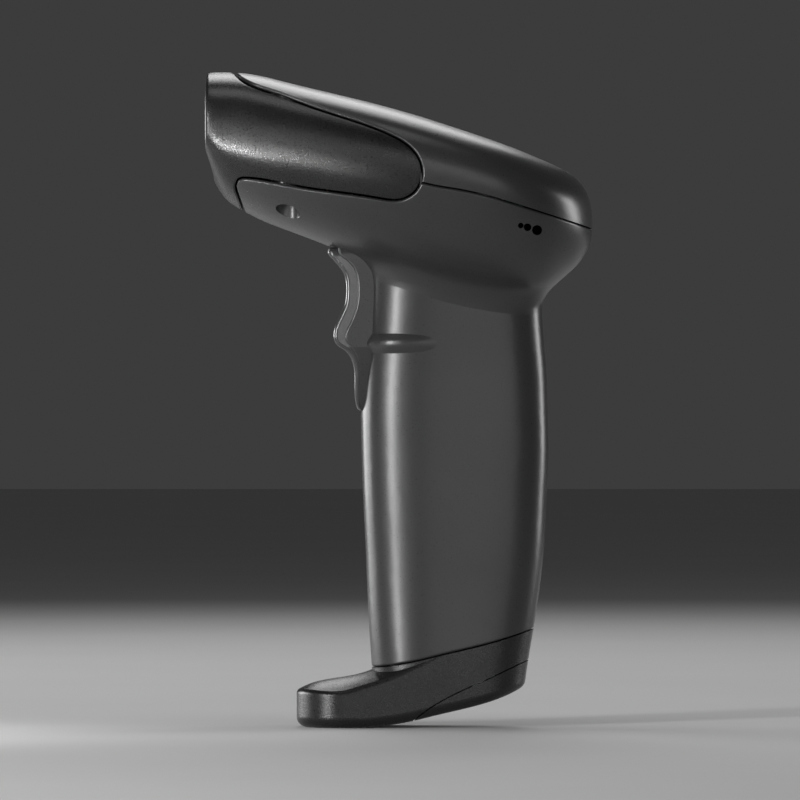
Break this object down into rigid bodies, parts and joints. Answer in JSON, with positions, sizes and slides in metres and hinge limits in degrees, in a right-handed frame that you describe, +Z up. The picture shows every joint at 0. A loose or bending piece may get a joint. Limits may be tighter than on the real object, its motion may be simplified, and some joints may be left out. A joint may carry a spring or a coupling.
{
  "type": "handheld barcode scanner",
  "caption": "Pistol-grip handheld barcode scanner with a wrapped nose frame round a dark window, a sprung trigger in a collar and a base with a forward foot.",
  "frame": {"origin": "On the ground, under the middle of the overall box, where the underside of the foot rests", "axes": "+Z up along the handle, -Y the way the nose and window face, +X the width"},
  "size_m": [0.0738, 0.0973, 0.1653],
  "materials": {
    "housing": "satin dark grey moulding",
    "bezel": "fine-grained dark grey moulding",
    "base": "fine-grained near-black moulding",
    "trigger": "smooth dark grey moulding",
    "window": "dark tinted clear plastic",
    "foam": "soft black foam",
    "gold_print": "gold-coloured print",
    "black_plastic": "black moulding",
    "white_plastic": "off-white moulding",
    "circuit_board": "green circuit board",
    "steel": "plated steel",
    "lens": "clear lens",
    "flex_film": "amber film",
    "cell_wrap": "shrink sleeve on a cell"
  },
  "bodies": {
    "body": {"lower_housing": "housing", "top_cover": "housing", "nose_bezel": "bezel", "base_foot": "base", "base_rear_panel": "base", "port_shell": "steel", "port_tongue": "black_plastic", "base_board": "circuit_board", "window": "window", "window_gasket": "foam", "window_marks": "gold_print", "engine_chassis": "black_plastic", "lens_barrel": "black_plastic", "imaging_lens": "lens", "illumination_lens": "lens", "aimer_lens": "lens", "engine_board": "circuit_board", "engine_bracket": "steel", "main_board": "circuit_board", "processor_chip": "black_plastic", "memory_chip": "black_plastic", "radio_shield": "steel", "flex_socket": "white_plastic", "buzzer": "black_plastic", "engine_flex": "flex_film", "battery_cell": "cell_wrap", "battery_cradle": "black_plastic", "lower_contact": "steel", "upper_contact": "steel", "trigger_pin": "steel", "switch_board": "circuit_board", "switch_body": "black_plastic", "head_screw_right": "steel", "head_screw_left": "steel", "base_screw_right": "steel", "base_screw_left": "steel", "board_screws": "steel"},
    "trigger_body": {"trigger": "trigger"},
    "plunger_body": {"switch_plunger": "white_plastic"}
  },
  "joints": [
    {"name": "trigger_pull", "type": "hinge", "parent": "body", "child": "trigger_body", "pos_m": [0, 0.0006, 0.1174], "axis": [1, 0, 0], "range_deg": [0, 3], "stiffness_Nm_per_rad": 0.3, "springref_deg": -2.86},
    {"name": "plunger_press", "type": "slide", "parent": "body", "child": "plunger_body", "axis": [0, 1, 0], "range_m": [0, 0.001]}
  ],
  "couplings": [
    {"joint": "plunger_press", "follows": "trigger_pull", "m_per_rad": 0.0175}
  ]
}
